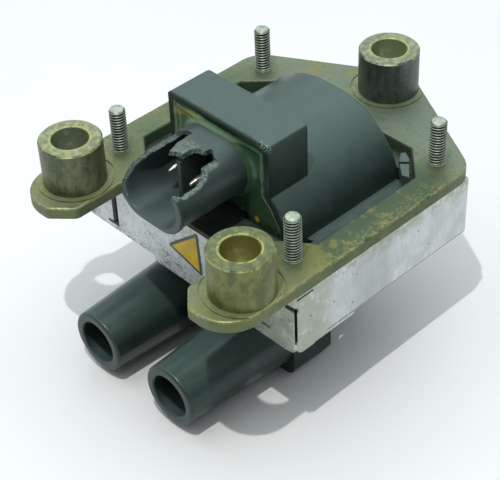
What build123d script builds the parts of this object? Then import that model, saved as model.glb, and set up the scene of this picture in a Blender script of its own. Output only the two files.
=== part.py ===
from build123d import *
import os

os.makedirs("parts", exist_ok=True)

# Two-outlet ignition coil on a three-bush mounting plate. Millimetres, +Z up.
# The origin is the centre of the four-stud pattern on the plate's top face.
# The high-voltage towers and the connector point along -Y, the single rear bush is on +Y.

# Mounting plate
PLATE_T = 3.0
PLATE_HALF_X = 36.1
EAR_INNER_X = 18.8
EAR_CHAMFER_Y = -45.5
EAR_CHAMFER_X = 24.0
EAR_END_Y = -50.3
EAR_CORNER_R = 9.2
EAR_SMALL_R = 2.0
REAR_SHOULDER_Y = 27.6
REAR_SHOULDER_R = 8.0
REAR_APEX_Y = 47.98
REAR_APEX_R = 7.8
WINDOW_HALF_X = 28.8
WINDOW_FRONT_Y = -16.4
WINDOW_SIDE_END_Y = 15.9
WINDOW_BACK_HALF_X = 20.9
WINDOW_BACK_Y = 23.8
EAR_ROOT_Y = -24.0
WINDOW_R = 1.0
PLATE_TOP_ROUND = 0.7
PLATE_BOTTOM_ROUND = 0.25

# Bushes swaged into the plate
FRONT_BUSH_X = 28.15
FRONT_BUSH_Y = -38.32
REAR_BUSH_Y = 39.02
BUSH_R = 7.5
BUSH_H = 11.46
BUSH_SPIGOT_R = 6.0
BUSH_BORE_R = 4.4
BUSH_MOUTH_CHAMFER = 0.15
BUSH_EDGE_CHAMFER = 0.35
COIN_RING_OUTER_R = 9.5
COIN_RING_INNER_R = 8.9
COIN_RING_DEPTH = 0.25

# Clamp studs (M4) through the plate, the core corners and the tray floor; plain shank below the thread
STUD_X = 28.88
STUD_Y = 23.71
STUD_R = 2.0
STUD_H = 11.9
STUD_TIP_CHAMFER = 0.5
STUD_SHANK_R = 1.75
STUD_HOLE_R = 2.15
STUD_HEAD_R = 3.3
STUD_HEAD_H = 2.2
WASHER_R = 3.55
WASHER_T = 0.6

# Sheet tray round the core
TRAY_HALF_X = 36.1
TRAY_FRONT_Y = -30.5
TRAY_BACK_Y = 27.3
TRAY_T = 1.0
TRAY_TOP_Z = -PLATE_T
TRAY_BOTTOM_Z = -19.3
TRAY_BEND_R = 1.2
TRAY_CORNER_R = 0.8
TRAY_OPENING_HALF_X = 24.0
TRAY_OPENING_HALF_Y = 18.6
TRAY_RISE_TOP_Z = -2.2
TRAY_LIP_TOP_Z = TRAY_BOTTOM_Z + TRAY_BEND_R
FRONT_LIP = [
    (-11.0, TRAY_LIP_TOP_Z), (-11.0, -20.0), (32.4, -20.0), (34.4, -19.75), (35.3, -19.35), (35.8, -18.7),
    (35.8, TRAY_LIP_TOP_Z),
]
SIDE_LIP = [
    (-29.9, TRAY_LIP_TOP_Z), (-29.7, -19.3), (-28.7, -19.8), (-25.2, -19.8), (-24.4, -19.5), (-12.0, -19.4),
    (-12.0, TRAY_LIP_TOP_Z),
]
SLOT_X0 = 23.9
SLOT_X1 = 25.9
SLOT_BOTTOM_Z = -16.3
HOOK_X1 = 27.8
HOOK_H = 0.8
CORNER_SLIT_W = 0.65
CORNER_SLIT_L = 4.0
CORNER_SLIT_BOTTOM_Z = -16.9
CORNER_SLIT_TOP_Z = -6.0
NOTCH_X0 = 32.8
NOTCH_BOTTOM_Z = -7.5
SIDE_SLIT_Y0 = -30.0
SIDE_SLIT_Y1 = -25.0
SIDE_SLIT_Z0 = -4.1
SIDE_SLIT_Z1 = -3.5

# Laminated core
CORE_HALF_X = 35.0
CORE_FRONT_Y = -29.4
CORE_BACK_Y = 26.2
CORE_TOP_Z = -PLATE_T
CORE_BOTTOM_Z = TRAY_BOTTOM_Z + TRAY_T
CORE_H = CORE_TOP_Z - CORE_BOTTOM_Z
CORE_WINDOW_HALF_X = 25.5
YOKE_INNER_Y = 18.9
LEG_HALF_X = 8.0
GAP_T = 0.6
COIL_Z = (CORE_TOP_Z + CORE_BOTTOM_Z) / 2

# Coil case
CASE_FRONT_Y = -18.0
CASE_BACK_Y = 18.5
CASE_WALL = 1.4
BARREL_W = 45.2
BARREL_TOP_Z = 11.64
BARREL_BOTTOM_Z = 2 * COIL_Z - BARREL_TOP_Z
BARREL_CORNER_R = 20.4
BARREL_EDGE_R = 0.7
BLOCK_HALF_X = 16.2
BLOCK_FRONT_Y = -18.2
BLOCK_BACK_Y = -5.5
BLOCK_TOP_Z = 20.0
BLOCK_FOOT_Z = -2.0
BLOCK_BACK_R = 1.0
BLOCK_TOP_R = 0.7
LOWER_HALF_X = 22.6
LOWER_BOTTOM_Z = -44.9
LOWER_TOP_Z = -14.0
LOWER_EDGE_R = 3.0
LOWER_BACK_R = 2.5
OPENING_SILL_Z = -22.0
SLEEVE_HALF_X = 9.1
SLEEVE_HALF_Z = 8.75
SLEEVE_WALL = 1.0
KEEL_HALF_X = 4.0
KEEL_BACK_Y = 15.0
KEEL_TOP_Z = -28.0
KEEL_R = 1.0
LEDGE_TOP_Z = -4.9
LEDGE_T = 1.2
LEDGE_POINTS = [(18.0, -12.6), (23.6, -12.6), (25.3, -9.8), (25.3, 15.0), (23.8, 17.4), (18.0, 17.4)]
LEDGE_R = 1.2

# High-voltage towers
TOWER_X = 12.87
TOWER_Z = -35.55
TOWER_MOUTH_Y = -49.0
TOWER_MOUTH_R = 7.85
TOWER_BASE_R = 9.35
TOWER_LIP_R = 0.8
SOCKET_R = 5.45
SOCKET_STEP_Y = -34.0
SOCKET_INNER_R = 4.9
SOCKET_END_Y = -27.0
SOCKET_CHAMFER = 0.3

# High-voltage terminals
TERMINAL_STEM_R = 1.5
TERMINAL_CUP_R = 3.4
TERMINAL_CUP_INNER_R = 2.5
TERMINAL_CUP_MOUTH_Y = -33.0
TERMINAL_CUP_FLOOR_Y = -28.2
TERMINAL_BACK_Y = -8.4

# Connector shroud
SHROUD_Z = 9.9
SHROUD_R = 7.3
SHROUD_CENTRE_X = 3.1
SHROUD_WALL = 1.4
SHROUD_MOUTH_Y = -39.2
SHROUD_FLOOR_Y = -20.6
SHROUD_BACK_Y = -15.4
SHROUD_LIP_Y = -37.9
SHROUD_LIP_R = 0.3
BASE_W = 24.0
BASE_H = 15.6
BASE_FRONT_Y = -16.9
BASE_R = 3.0
BASE_FILLET = 0.8
PARTITION_T = 1.2
PARTITION_FRONT_Y = -30.0
BREAK_TOP_Z = 15.2
BREAK_TOP = [(-12.0, -42.0), (12.0, -42.0), (12.0, -27.6), (9.2, -26.3), (7.6, -25.1), (5.5, -24.5), (4.2, -23.8),
             (4.1, -25.7), (2.9, -25.9), (1.4, -26.4), (1.3, -28.2), (1.2, -29.7), (-0.4, -30.0), (-1.9, -30.8),
             (-2.3, -29.0), (-2.9, -27.5), (-2.8, -25.6), (-3.5, -23.7), (-6.0, -23.0), (-12.0, -22.6)]
BREAK_LEFT_X = -3.0
BREAK_LEFT = [(-42.0, 5.4), (-39.2, 6.2), (-38.6, 6.7), (-38.0, 8.7), (-37.2, 9.6), (-36.0, 11.1), (-34.4, 12.4),
              (-33.0, 12.9), (-31.8, 13.5), (-30.4, 13.8), (-22.8, 13.8), (-22.8, 19.0), (-42.0, 19.0)]
BREAK_RIGHT_X = 1.3
BREAK_RIGHT = [(-42.0, 13.5), (-39.4, 13.7), (-38.3, 14.0), (-36.6, 13.1), (-35.0, 13.3), (-33.1, 13.2), (-31.3, 13.8),
               (-30.0, 14.2), (-28.7, 15.2), (-27.4, 17.4), (-27.4, 19.0), (-42.0, 19.0)]
BREAK_REACH = 10.0

# Contact pins
PIN_X = 3.5
PIN_Z = 10.2
PIN_R = 0.8
PIN_TIP_Y = -30.0
PIN_TIP_R = 0.35
PIN_TAPER = 1.6
PIN_BACK_Y = -14.6

# Potting resin
RESIN_FRONT_Y = -17.7

# Windings on one axis through the centre leg
PRIMARY_TUBE_T = 0.8
PRIMARY_TUBE_R = 1.0
PRIMARY_FLANGE_T = 1.0
PRIMARY_HALF_Y = 14.0
PRIMARY_DEPTH = 2.5
PRIMARY_WIND_R = 4.0
WRAP_T = 0.3
SECONDARY_INNER_R = 16.2
SECONDARY_TUBE_R = 17.0
SECONDARY_WIND_R = 19.6
SECONDARY_FLANGE_R = 20.2
SECONDARY_HALF_Y = 14.5
SECONDARY_FLANGE_T = 0.9
SECTION_COUNT = 6

# Leads
LEAD_R = 0.4
HT_LEAD_R = 0.3
PRIMARY_LEAD_Y = -14.95
HT_LEAD_LEFT_Y = -11.5
HT_LEAD_RIGHT_X = 2.0
HT_LEAD_RIGHT_Z = -31.2
HT_LEAD_RIGHT_Y = -9.9

# Corner clip in the plate window's right rear corner
CLIP_POINTS = [(20.4, 20.6), (22.5, 17.6), (26.4, 14.2), (28.3, 14.9), (23.6, 20.2), (21.2, 21.6)]
CLIP_H = 3.2
CLIP_EDGE_R = 0.3
CLIP_GROOVE_L = 12.0
CLIP_GROOVE_W = 0.9
CLIP_GROOVE_DEPTH = 1.6
CLIP_GROOVE_X = 23.45
CLIP_GROOVE_Y = 17.85
CLIP_ANGLE = 42.0

# Marking triangle on the tray's front wall
MARK_POINTS = [(-5.65, -11.6), (5.2, -2.4), (6.1, -14.9)]
MARK_T = 0.12
MARK_R = 0.6

STUD_PLACES = [(-STUD_X, -STUD_Y), (STUD_X, -STUD_Y), (-STUD_X, STUD_Y), (STUD_X, STUD_Y)]
CLEAR = 1.0
TOL = 0.01


def section(y):
    """Plane facing the front (-Y) at the given y, with its own axes along X and Z."""
    return Plane.XZ.offset(-y)


def mirrored_points(points):
    """The same outline on the other side of the object's middle plane."""
    return [(-x, y) for x, y in points]


def case_cavity(front_y, sill_front_y):
    """Hollow of the coil case from its back wall to front_y, and to sill_front_y below the opening's sill."""
    inner_w = BARREL_W - 2 * CASE_WALL
    inner_h = BARREL_TOP_Z - BARREL_BOTTOM_Z - 2 * CASE_WALL
    inner_r = BARREL_CORNER_R - CASE_WALL
    back_y = CASE_BACK_Y - CASE_WALL
    block_back_y = BLOCK_BACK_Y - CASE_WALL
    with BuildPart() as hollow:
        with BuildSketch(section(back_y)):
            with Locations((0, COIL_Z)):
                RectangleRounded(inner_w, inner_h, inner_r)
        extrude(amount=back_y - sill_front_y)
        with BuildSketch(section(sill_front_y)):
            with Locations((0, COIL_Z)):
                RectangleRounded(inner_w, inner_h, inner_r)
            with Locations((0, OPENING_SILL_Z)):
                Rectangle(BARREL_W, BARREL_W, align=(Align.CENTER, Align.MIN), mode=Mode.INTERSECT)
        extrude(amount=sill_front_y - front_y)
        with BuildSketch(section(block_back_y)):
            with Locations((0, BLOCK_TOP_Z - CASE_WALL)):
                Rectangle(2 * (BLOCK_HALF_X - CASE_WALL), BLOCK_TOP_Z, align=(Align.CENTER, Align.MAX))
        extrude(amount=block_back_y - front_y)
        with BuildSketch(section(block_back_y)):
            with Locations((0, LOWER_BOTTOM_Z + CASE_WALL)):
                Rectangle(2 * (LOWER_HALF_X - CASE_WALL), LOWER_TOP_Z - LOWER_BOTTOM_Z - LOWER_EDGE_R,
                          align=(Align.CENTER, Align.MIN))
        extrude(amount=block_back_y - sill_front_y)
    return hollow.part


def sleeve_block(front_y, back_y):
    """Solid block over the outside of the case's sleeve for the core's centre leg."""
    with BuildPart() as block:
        with BuildSketch(section(back_y)):
            with Locations((0, COIL_Z)):
                Rectangle(2 * SLEEVE_HALF_X, 2 * SLEEVE_HALF_Z)
        extrude(amount=back_y - front_y)
    return block.part


def bush(x, y, label):
    """Spacer bush with its spigot through the plate."""
    with BuildPart() as piece:
        with BuildSketch(Plane.XY):
            with Locations((x, y)):
                Circle(BUSH_R)
        extrude(amount=BUSH_H)
        chamfer(piece.edges().group_by(Axis.Z)[-1], BUSH_EDGE_CHAMFER)
        with BuildSketch(Plane.XY):
            with Locations((x, y)):
                Circle(BUSH_SPIGOT_R)
        extrude(amount=-PLATE_T)
        with BuildSketch(Plane.XY.offset(BUSH_H)):
            with Locations((x, y)):
                Circle(BUSH_BORE_R)
        extrude(amount=-BUSH_H - PLATE_T, mode=Mode.SUBTRACT)
        mouth_edges = piece.edges().filter_by(GeomType.CIRCLE).filter_by(lambda e: abs(e.radius - BUSH_BORE_R) < TOL)
        chamfer(mouth_edges, BUSH_MOUTH_CHAMFER)
    piece.part.label = label
    return piece.part


def lead(points, radius, label):
    """Round wire along a straight-sided path."""
    with BuildPart() as piece:
        with BuildLine() as path:
            Polyline(points)
        with BuildSketch(Plane(origin=path.line @ 0, z_dir=path.line % 0)):
            Circle(radius)
        sweep(path=path.line, transition=Transition.RIGHT)
    piece.part.label = label
    return piece.part


# ---------------------------------------------------------------- mounting plate
with BuildPart() as mounting_plate:
    with BuildSketch(Plane.XY.offset(-PLATE_T)) as outline:
        with BuildLine():
            Polyline(
                (EAR_INNER_X, EAR_ROOT_Y), (EAR_INNER_X, EAR_CHAMFER_Y), (EAR_CHAMFER_X, EAR_END_Y),
                (PLATE_HALF_X, EAR_END_Y), (PLATE_HALF_X, REAR_SHOULDER_Y), (0, REAR_APEX_Y),
                (-PLATE_HALF_X, REAR_SHOULDER_Y), (-PLATE_HALF_X, EAR_END_Y), (-EAR_CHAMFER_X, EAR_END_Y),
                (-EAR_INNER_X, EAR_CHAMFER_Y), (-EAR_INNER_X, EAR_ROOT_Y), (-WINDOW_HALF_X, WINDOW_FRONT_Y),
                (-WINDOW_HALF_X, WINDOW_SIDE_END_Y), (-WINDOW_BACK_HALF_X, WINDOW_BACK_Y),
                (WINDOW_BACK_HALF_X, WINDOW_BACK_Y), (WINDOW_HALF_X, WINDOW_SIDE_END_Y),
                (WINDOW_HALF_X, WINDOW_FRONT_Y), close=True)
        make_face()
        corners = outline.vertices()
        fillet(corners.filter_by(lambda v: abs(v.Y - REAR_APEX_Y) < TOL), REAR_APEX_R)
        corners = outline.vertices()
        fillet(corners.filter_by(lambda v: abs(v.Y - REAR_SHOULDER_Y) < TOL), REAR_SHOULDER_R)
        corners = outline.vertices()
        ear_ends = corners.filter_by(lambda v: v.Y < EAR_END_Y + TOL)
        fillet(ear_ends.filter_by(lambda v: abs(v.X) > PLATE_HALF_X - TOL), EAR_CORNER_R)
        corners = outline.vertices()
        ear_sides = corners.filter_by(lambda v: v.Y < EAR_CHAMFER_Y + TOL)
        fillet(ear_sides.filter_by(lambda v: abs(v.X) < EAR_CHAMFER_X + TOL), EAR_SMALL_R)
        corners = outline.vertices()
        inner = corners.filter_by(lambda v: EAR_ROOT_Y - TOL < v.Y < WINDOW_BACK_Y + TOL)
        fillet(inner.filter_by(lambda v: abs(v.X) < WINDOW_HALF_X + TOL), WINDOW_R)
    extrude(amount=PLATE_T)
    fillet(mounting_plate.edges().group_by(Axis.Z)[-1], PLATE_TOP_ROUND)
    fillet(mounting_plate.edges().group_by(Axis.Z)[0], PLATE_BOTTOM_ROUND)
    with Locations((-FRONT_BUSH_X, FRONT_BUSH_Y), (FRONT_BUSH_X, FRONT_BUSH_Y), (0, REAR_BUSH_Y)):
        Hole(BUSH_SPIGOT_R)
    with Locations(STUD_PLACES):
        Hole(STUD_HOLE_R)
    with BuildSketch(Plane.XY):
        with Locations((-FRONT_BUSH_X, FRONT_BUSH_Y), (FRONT_BUSH_X, FRONT_BUSH_Y), (0, REAR_BUSH_Y)):
            Circle(COIN_RING_OUTER_R)
            Circle(COIN_RING_INNER_R, mode=Mode.SUBTRACT)
    extrude(amount=-COIN_RING_DEPTH, mode=Mode.SUBTRACT)
mounting_plate.part.label = "mounting_plate"
export_step(mounting_plate.part, "parts/mounting_plate.step")

# ---------------------------------------------------------------- bushes
mounting_bush_left = bush(-FRONT_BUSH_X, FRONT_BUSH_Y, "mounting_bush_left")
export_step(mounting_bush_left, "parts/mounting_bush_left.step")
mounting_bush_right = bush(FRONT_BUSH_X, FRONT_BUSH_Y, "mounting_bush_right")
export_step(mounting_bush_right, "parts/mounting_bush_right.step")
mounting_bush_rear = bush(0, REAR_BUSH_Y, "mounting_bush_rear")
export_step(mounting_bush_rear, "parts/mounting_bush_rear.step")

# ---------------------------------------------------------------- clamp studs and washers
HEAD_TOP_Z = TRAY_BOTTOM_Z - WASHER_T
HEAD_BOTTOM_Z = HEAD_TOP_Z - STUD_HEAD_H
with BuildPart() as clamp_studs:
    with BuildSketch(Plane.XY.offset(HEAD_BOTTOM_Z)):
        with Locations(STUD_PLACES):
            Circle(STUD_HEAD_R)
    extrude(amount=STUD_HEAD_H)
    chamfer(clamp_studs.edges().group_by(Axis.Z)[0], STUD_TIP_CHAMFER)
    with BuildSketch(Plane.XY.offset(HEAD_TOP_Z)):
        with Locations(STUD_PLACES):
            Circle(STUD_SHANK_R)
    extrude(amount=-HEAD_TOP_Z)
    with BuildSketch(Plane.XY):
        with Locations(STUD_PLACES):
            Circle(STUD_R)
    extrude(amount=STUD_H)
    chamfer(clamp_studs.edges().group_by(Axis.Z)[-1], STUD_TIP_CHAMFER)
clamp_studs.part.label = "clamp_studs"
export_step(clamp_studs.part, "parts/clamp_studs.step")

with BuildPart() as stud_washers:
    with BuildSketch(Plane.XY.offset(HEAD_TOP_Z)):
        with Locations(STUD_PLACES):
            Circle(WASHER_R)
            Circle(STUD_HOLE_R, mode=Mode.SUBTRACT)
    extrude(amount=WASHER_T)
stud_washers.part.label = "stud_washers"
export_step(stud_washers.part, "parts/stud_washers.step")

# ---------------------------------------------------------------- sheet tray
with BuildPart() as core_tray:
    with BuildSketch(Plane.XY.offset(TRAY_BOTTOM_Z)):
        with Locations((0, (TRAY_FRONT_Y + TRAY_BACK_Y) / 2)):
            RectangleRounded(2 * TRAY_HALF_X, TRAY_BACK_Y - TRAY_FRONT_Y, TRAY_CORNER_R)
    extrude(amount=TRAY_TOP_Z - TRAY_BOTTOM_Z)
    fillet(core_tray.edges().group_by(Axis.Z)[0], TRAY_BEND_R)
    with BuildSketch(Plane.XY.offset(TRAY_BOTTOM_Z + TRAY_T)):
        with Locations((0, (TRAY_FRONT_Y + TRAY_BACK_Y) / 2)):
            Rectangle(2 * (TRAY_HALF_X - TRAY_T), TRAY_BACK_Y - TRAY_FRONT_Y - 2 * TRAY_T)
    extrude(amount=TRAY_TOP_Z - TRAY_BOTTOM_Z, mode=Mode.SUBTRACT)
    with BuildSketch(Plane.XY.offset(TRAY_BOTTOM_Z)):
        Rectangle(2 * TRAY_OPENING_HALF_X, 2 * TRAY_OPENING_HALF_Y)
    extrude(amount=TRAY_T, mode=Mode.SUBTRACT)
    # front wall: raised middle between the ears, and a lip below the floor that runs round onto the right wall
    with BuildSketch(section(TRAY_FRONT_Y + TRAY_T)):
        with Locations((0, TRAY_TOP_Z - CLEAR)):
            Rectangle(2 * (EAR_INNER_X - CLEAR / 2), TRAY_RISE_TOP_Z - TRAY_TOP_Z + CLEAR, align=(Align.CENTER, Align.MIN))
        with BuildLine():
            Polyline(FRONT_LIP, close=True)
        make_face()
    extrude(amount=TRAY_T)
    with BuildSketch(Plane.YZ.offset(TRAY_HALF_X - TRAY_T)):
        with BuildLine():
            Polyline(SIDE_LIP, close=True)
        make_face()
    extrude(amount=TRAY_T)
    # L-shaped slots and corner notches through the front wall
    slot_h = TRAY_TOP_Z - SLOT_BOTTOM_Z + CLEAR
    with BuildSketch(section(TRAY_FRONT_Y + TRAY_T)):
        for side in (-1, 1):
            with Locations((side * (SLOT_X0 + SLOT_X1) / 2, SLOT_BOTTOM_Z)):
                Rectangle(SLOT_X1 - SLOT_X0, slot_h, align=(Align.CENTER, Align.MIN))
            with Locations((side * (SLOT_X0 + HOOK_X1) / 2, SLOT_BOTTOM_Z)):
                Rectangle(HOOK_X1 - SLOT_X0, HOOK_H, align=(Align.CENTER, Align.MAX))
            with Locations((side * (NOTCH_X0 + TRAY_HALF_X + CLEAR) / 2, NOTCH_BOTTOM_Z)):
                Rectangle(TRAY_HALF_X + CLEAR - NOTCH_X0, CORNER_SLIT_TOP_Z - NOTCH_BOTTOM_Z,
                          align=(Align.CENTER, Align.MIN))
    extrude(amount=TRAY_T, mode=Mode.SUBTRACT)
    # open fold at each front corner
    with BuildSketch(Plane.XY.offset(CORNER_SLIT_BOTTOM_Z)):
        for side in (-1, 1):
            with Locations((side * TRAY_HALF_X, TRAY_FRONT_Y)):
                Rectangle(CORNER_SLIT_L, CORNER_SLIT_W, rotation=-45 * side)
    extrude(amount=CORNER_SLIT_TOP_Z - CORNER_SLIT_BOTTOM_Z, mode=Mode.SUBTRACT)
    with BuildSketch(Plane.XY.offset(SIDE_SLIT_Z0)):
        with Locations((-TRAY_HALF_X, SIDE_SLIT_Y0), (TRAY_HALF_X, SIDE_SLIT_Y0)):
            Rectangle(2 * TRAY_T, SIDE_SLIT_Y1 - SIDE_SLIT_Y0, align=(Align.CENTER, Align.MIN))
    extrude(amount=SIDE_SLIT_Z1 - SIDE_SLIT_Z0, mode=Mode.SUBTRACT)
    with BuildSketch(Plane.XY.offset(TRAY_BOTTOM_Z)):
        with Locations(STUD_PLACES):
            Circle(STUD_HOLE_R)
    extrude(amount=TRAY_T, mode=Mode.SUBTRACT)
core_tray.part.label = "core_tray"
export_step(core_tray.part, "parts/core_tray.step")

# ---------------------------------------------------------------- laminated core
with BuildPart() as core_e_stack:
    with BuildSketch(Plane.XY.offset(CORE_BOTTOM_Z)):
        with Locations((0, CORE_FRONT_Y)):
            Rectangle(2 * CORE_HALF_X, YOKE_INNER_Y - CORE_FRONT_Y, align=(Align.CENTER, Align.MIN))
        with Locations((0, -YOKE_INNER_Y)):
            Rectangle(2 * CORE_WINDOW_HALF_X, 2 * YOKE_INNER_Y, align=(Align.CENTER, Align.MIN), mode=Mode.SUBTRACT)
        with Locations((0, -YOKE_INNER_Y)):
            Rectangle(2 * LEG_HALF_X, 2 * YOKE_INNER_Y - GAP_T, align=(Align.CENTER, Align.MIN))
        with Locations((-STUD_X, -STUD_Y), (STUD_X, -STUD_Y)):
            Circle(STUD_HOLE_R, mode=Mode.SUBTRACT)
    extrude(amount=CORE_H)
core_e_stack.part.label = "core_e_stack"
export_step(core_e_stack.part, "parts/core_e_stack.step")

with BuildPart() as core_i_stack:
    with BuildSketch(Plane.XY.offset(CORE_BOTTOM_Z)):
        with Locations((0, YOKE_INNER_Y)):
            Rectangle(2 * CORE_HALF_X, CORE_BACK_Y - YOKE_INNER_Y, align=(Align.CENTER, Align.MIN))
        with Locations((-STUD_X, STUD_Y), (STUD_X, STUD_Y)):
            Circle(STUD_HOLE_R, mode=Mode.SUBTRACT)
    extrude(amount=CORE_H)
core_i_stack.part.label = "core_i_stack"
export_step(core_i_stack.part, "parts/core_i_stack.step")

with BuildPart() as core_gap_shim:
    with BuildSketch(Plane.XY.offset(CORE_BOTTOM_Z)):
        with Locations((0, YOKE_INNER_Y)):
            Rectangle(2 * LEG_HALF_X, GAP_T, align=(Align.CENTER, Align.MAX))
    extrude(amount=CORE_H)
core_gap_shim.part.label = "core_gap_shim"
export_step(core_gap_shim.part, "parts/core_gap_shim.step")

# ---------------------------------------------------------------- coil case with its two towers
case_hollow = case_cavity(BLOCK_FRONT_Y - CLEAR, CASE_FRONT_Y + CASE_WALL)
case_sleeve = sleeve_block(CASE_FRONT_Y, CASE_BACK_Y)
with BuildPart() as coil_case:
    with BuildSketch(section(CASE_BACK_Y)):
        with Locations((0, COIL_Z)):
            RectangleRounded(BARREL_W, BARREL_TOP_Z - BARREL_BOTTOM_Z, BARREL_CORNER_R)
    extrude(amount=CASE_BACK_Y - CASE_FRONT_Y)
    fillet(coil_case.edges().group_by(Axis.Y)[-1], BARREL_EDGE_R)
    with BuildSketch(Plane.XY.offset(BLOCK_FOOT_Z)) as block_outline:
        with Locations((0, BLOCK_FRONT_Y)):
            Rectangle(2 * BLOCK_HALF_X, BLOCK_BACK_Y - BLOCK_FRONT_Y, align=(Align.CENTER, Align.MIN))
        fillet(block_outline.vertices().group_by(Axis.Y)[-1], BLOCK_BACK_R)
    extrude(amount=BLOCK_TOP_Z - BLOCK_FOOT_Z)
    fillet(coil_case.edges().group_by(Axis.Z)[-1], BLOCK_TOP_R)
    with BuildSketch(section(CASE_FRONT_Y)) as lower_outline:
        with Locations((0, LOWER_BOTTOM_Z)):
            Rectangle(2 * LOWER_HALF_X, LOWER_TOP_Z - LOWER_BOTTOM_Z, align=(Align.CENTER, Align.MIN))
        fillet(lower_outline.vertices().group_by(Axis.Y)[0], LOWER_EDGE_R)
    extrude(amount=CASE_FRONT_Y - BLOCK_BACK_Y)
    with BuildSketch(Plane.XY.offset(LOWER_BOTTOM_Z)) as keel_outline:
        with Locations((0, BLOCK_BACK_Y - CLEAR)):
            Rectangle(2 * KEEL_HALF_X, KEEL_BACK_Y - BLOCK_BACK_Y + CLEAR, align=(Align.CENTER, Align.MIN))
        fillet(keel_outline.vertices().group_by(Axis.Y)[-1], KEEL_R)
    extrude(amount=KEEL_TOP_Z - LOWER_BOTTOM_Z)
    with BuildSketch(Plane.XY.offset(LEDGE_TOP_Z)) as ledge_outline:
        with BuildLine():
            Polyline(LEDGE_POINTS, close=True)
        make_face()
        with BuildLine():
            Polyline(mirrored_points(LEDGE_POINTS), close=True)
        make_face()
        fillet(ledge_outline.vertices().filter_by(lambda v: abs(v.X) > BARREL_W / 2), LEDGE_R)
    extrude(amount=-LEDGE_T)
    for tower_side in (-1, 1):
        with BuildSketch(section(CASE_FRONT_Y)):
            with Locations((tower_side * TOWER_X, TOWER_Z)):
                Circle(TOWER_BASE_R)
        with BuildSketch(section(TOWER_MOUTH_Y)):
            with Locations((tower_side * TOWER_X, TOWER_Z)):
                Circle(TOWER_MOUTH_R)
        loft()
    fillet(coil_case.edges().group_by(Axis.Y)[0], TOWER_LIP_R)
    add(case_hollow, mode=Mode.SUBTRACT)
    add(case_sleeve)
    with BuildSketch(section(CASE_BACK_Y)):
        with Locations((0, COIL_Z)):
            Rectangle(2 * (SLEEVE_HALF_X - SLEEVE_WALL), 2 * (SLEEVE_HALF_Z - SLEEVE_WALL))
    extrude(amount=CASE_BACK_Y - CASE_FRONT_Y, mode=Mode.SUBTRACT)
    for tower_side in (-1, 1):
        with BuildSketch(section(SOCKET_STEP_Y)):
            with Locations((tower_side * TOWER_X, TOWER_Z)):
                Circle(SOCKET_R)
        extrude(amount=SOCKET_STEP_Y - TOWER_MOUTH_Y, mode=Mode.SUBTRACT)
        with BuildSketch(section(SOCKET_END_Y)):
            with Locations((tower_side * TOWER_X, TOWER_Z)):
                Circle(SOCKET_INNER_R)
        extrude(amount=SOCKET_END_Y - SOCKET_STEP_Y, mode=Mode.SUBTRACT)
        with BuildSketch(section(BLOCK_BACK_Y - CASE_WALL)):
            with Locations((tower_side * TOWER_X, TOWER_Z)):
                Circle(TERMINAL_STEM_R)
        extrude(amount=BLOCK_BACK_Y - CASE_WALL - SOCKET_END_Y, mode=Mode.SUBTRACT)
    mouth_edges = coil_case.edges().filter_by(GeomType.CIRCLE).group_by(Axis.Y)[0]
    chamfer(mouth_edges.filter_by(lambda e: abs(e.radius - SOCKET_R) < TOL), SOCKET_CHAMFER)
coil_case.part.label = "coil_case"
export_step(coil_case.part, "parts/coil_case.step")

# ---------------------------------------------------------------- high-voltage terminals
def ht_terminal(x, label):
    """Brass cup in the socket's bottom on a stem that reaches back into the lower block."""
    with BuildPart() as piece:
        with BuildSketch(section(SOCKET_END_Y)):
            with Locations((x, TOWER_Z)):
                Circle(TERMINAL_CUP_R)
        extrude(amount=SOCKET_END_Y - TERMINAL_CUP_MOUTH_Y)
        with BuildSketch(section(TERMINAL_CUP_FLOOR_Y)):
            with Locations((x, TOWER_Z)):
                Circle(TERMINAL_CUP_INNER_R)
        extrude(amount=TERMINAL_CUP_FLOOR_Y - TERMINAL_CUP_MOUTH_Y, mode=Mode.SUBTRACT)
        with BuildSketch(section(TERMINAL_BACK_Y)):
            with Locations((x, TOWER_Z)):
                Circle(TERMINAL_STEM_R)
        extrude(amount=TERMINAL_BACK_Y - SOCKET_END_Y)
    piece.part.label = label
    return piece.part


ht_terminal_left = ht_terminal(-TOWER_X, "ht_terminal_left")
export_step(ht_terminal_left, "parts/ht_terminal_left.step")
ht_terminal_right = ht_terminal(TOWER_X, "ht_terminal_right")
export_step(ht_terminal_right, "parts/ht_terminal_right.step")

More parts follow.
